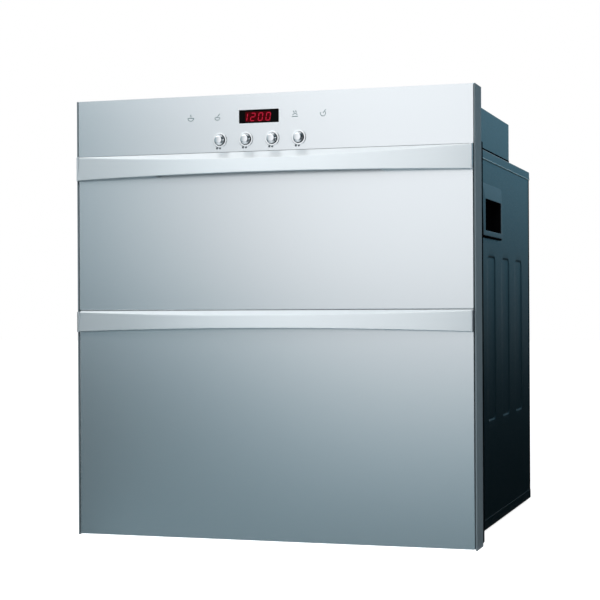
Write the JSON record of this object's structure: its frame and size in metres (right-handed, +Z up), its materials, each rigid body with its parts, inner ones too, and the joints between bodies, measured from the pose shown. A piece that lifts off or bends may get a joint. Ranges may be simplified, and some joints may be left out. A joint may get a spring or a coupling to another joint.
{
  "type": "dish dryer",
  "caption": "Built-in dish dryer: steel cabinet with a control fascia over an upper and a taller lower drawer, each with a bowed handle, wire basket and runners.",
  "frame": {"origin": "middle of the base of the whole box, where the side trims and glides stand", "axes": "+Z up, front faces -Y, +X to the right seen from the front"},
  "size_m": [0.6, 0.5756, 0.64],
  "materials": {
    "painted_cabinet": "semi-matt dark teal-grey paint",
    "frame_steel": "dark grey paint",
    "dark_trim": "satin grey paint",
    "grip_moulding": "semi-matt dark teal-grey",
    "black_moulding": "matt black",
    "zinc_sheet": "zinc coated",
    "stainless": "bright rolled stainless",
    "satin_front": "satin silver",
    "handle_aluminium": "satin anodised",
    "handle_cap": "grey",
    "display_lens": "smoked, glossy",
    "digit_block": "dark red",
    "chrome": "polished",
    "collar_satin": "satin",
    "board_green": "solder mask",
    "transformer_core": "varnished laminations",
    "white_moulding": "white",
    "lamp_glass": "clear quartz",
    "heater_fins": "plain fins",
    "motor_steel": "plain can",
    "fan_plastic": "black",
    "runner_steel": "zinc plated",
    "screw_steel": "zinc plated",
    "seal_rubber": "grey silicone",
    "basket_wire": "polished stainless wire"
  },
  "bodies": {
    "cabinet": {"front_frame": "frame_steel", "side_trim_left": "dark_trim", "side_trim_right": "dark_trim", "side_panel_left": "painted_cabinet", "side_panel_right": "painted_cabinet", "grip_bezel_left": "grip_moulding", "grip_bezel_right": "grip_moulding", "back_panel": "zinc_sheet", "top_cover": "painted_cabinet", "base_pan": "painted_cabinet", "base_glides": "black_moulding", "control_box": "painted_cabinet", "upper_liner": "stainless", "lower_liner": "stainless", "fascia_panel": "satin_front", "display_window": "display_lens", "display_module": "digit_block", "control_board": "board_green", "tact_switches": "black_moulding", "button_collars": "collar_satin", "power_board": "board_green", "transformer": "transformer_core", "terminal_block": "white_moulding", "ozone_generator": "white_moulding", "cable_gland": "black_moulding", "uv_lamp": "lamp_glass", "uv_lamp_holders": "white_moulding", "uv_lamp_guard": "stainless", "heater_block": "heater_fins", "fan_housing": "fan_plastic", "fan_motor": "motor_steel", "panel_screws": "screw_steel", "upper_rails_fixed": "runner_steel", "lower_rails_fixed": "runner_steel"},
    "upper_drawer": {"upper_front": "satin_front", "upper_inner_panel": "stainless", "upper_handle": "handle_aluminium", "upper_handle_caps": "handle_cap", "upper_seal": "seal_rubber", "upper_drawer_frame": "zinc_sheet", "upper_rails_inner": "runner_steel", "upper_drip_tray": "stainless", "upper_basket": "basket_wire"},
    "lower_drawer": {"lower_front": "satin_front", "lower_inner_panel": "stainless", "lower_handle": "handle_aluminium", "lower_handle_caps": "handle_cap", "lower_seal": "seal_rubber", "lower_drawer_frame": "zinc_sheet", "lower_rails_inner": "runner_steel", "lower_drip_tray": "stainless", "lower_basket": "basket_wire"},
    "upper_middle_runners": {"upper_rails_mid": "runner_steel"},
    "lower_middle_runners": {"lower_rails_mid": "runner_steel"},
    "button_1": {"button_1": "chrome"},
    "button_2": {"button_2": "chrome"},
    "button_3": {"button_3": "chrome"},
    "button_4": {"button_4": "chrome"},
    "impeller": {"fan_impeller": "fan_plastic"}
  },
  "joints": [
    {"name": "upper_drawer_slide", "type": "slide", "parent": "cabinet", "child": "upper_drawer", "axis": [0, -1, 0], "range_m": [0, 0.36]},
    {"name": "upper_runner_slide", "type": "slide", "parent": "cabinet", "child": "upper_middle_runners", "axis": [0, -1, 0], "range_m": [0, 0.18]},
    {"name": "lower_drawer_slide", "type": "slide", "parent": "cabinet", "child": "lower_drawer", "axis": [0, -1, 0], "range_m": [0, 0.36]},
    {"name": "lower_runner_slide", "type": "slide", "parent": "cabinet", "child": "lower_middle_runners", "axis": [0, -1, 0], "range_m": [0, 0.18]},
    {"name": "button_1_press", "type": "slide", "parent": "cabinet", "child": "button_1", "axis": [0, 1, 0], "range_m": [0, 0.0015], "stiffness_N_per_m": 400, "springref_m": -0.001},
    {"name": "button_2_press", "type": "slide", "parent": "cabinet", "child": "button_2", "axis": [0, 1, 0], "range_m": [0, 0.0015], "stiffness_N_per_m": 400, "springref_m": -0.001},
    {"name": "button_3_press", "type": "slide", "parent": "cabinet", "child": "button_3", "axis": [0, 1, 0], "range_m": [0, 0.0015], "stiffness_N_per_m": 400, "springref_m": -0.001},
    {"name": "button_4_press", "type": "slide", "parent": "cabinet", "child": "button_4", "axis": [0, 1, 0], "range_m": [0, 0.0015], "stiffness_N_per_m": 400, "springref_m": -0.001},
    {"name": "impeller_spin", "type": "hinge", "parent": "cabinet", "child": "impeller", "pos_m": [0, 0.23, 0.1655], "axis": [0, 1, 0], "continuous": true}
  ],
  "couplings": [
    {"joint": "upper_runner_slide", "follows": "upper_drawer_slide", "ratio": 0.5},
    {"joint": "lower_runner_slide", "follows": "lower_drawer_slide", "ratio": 0.5}
  ]
}
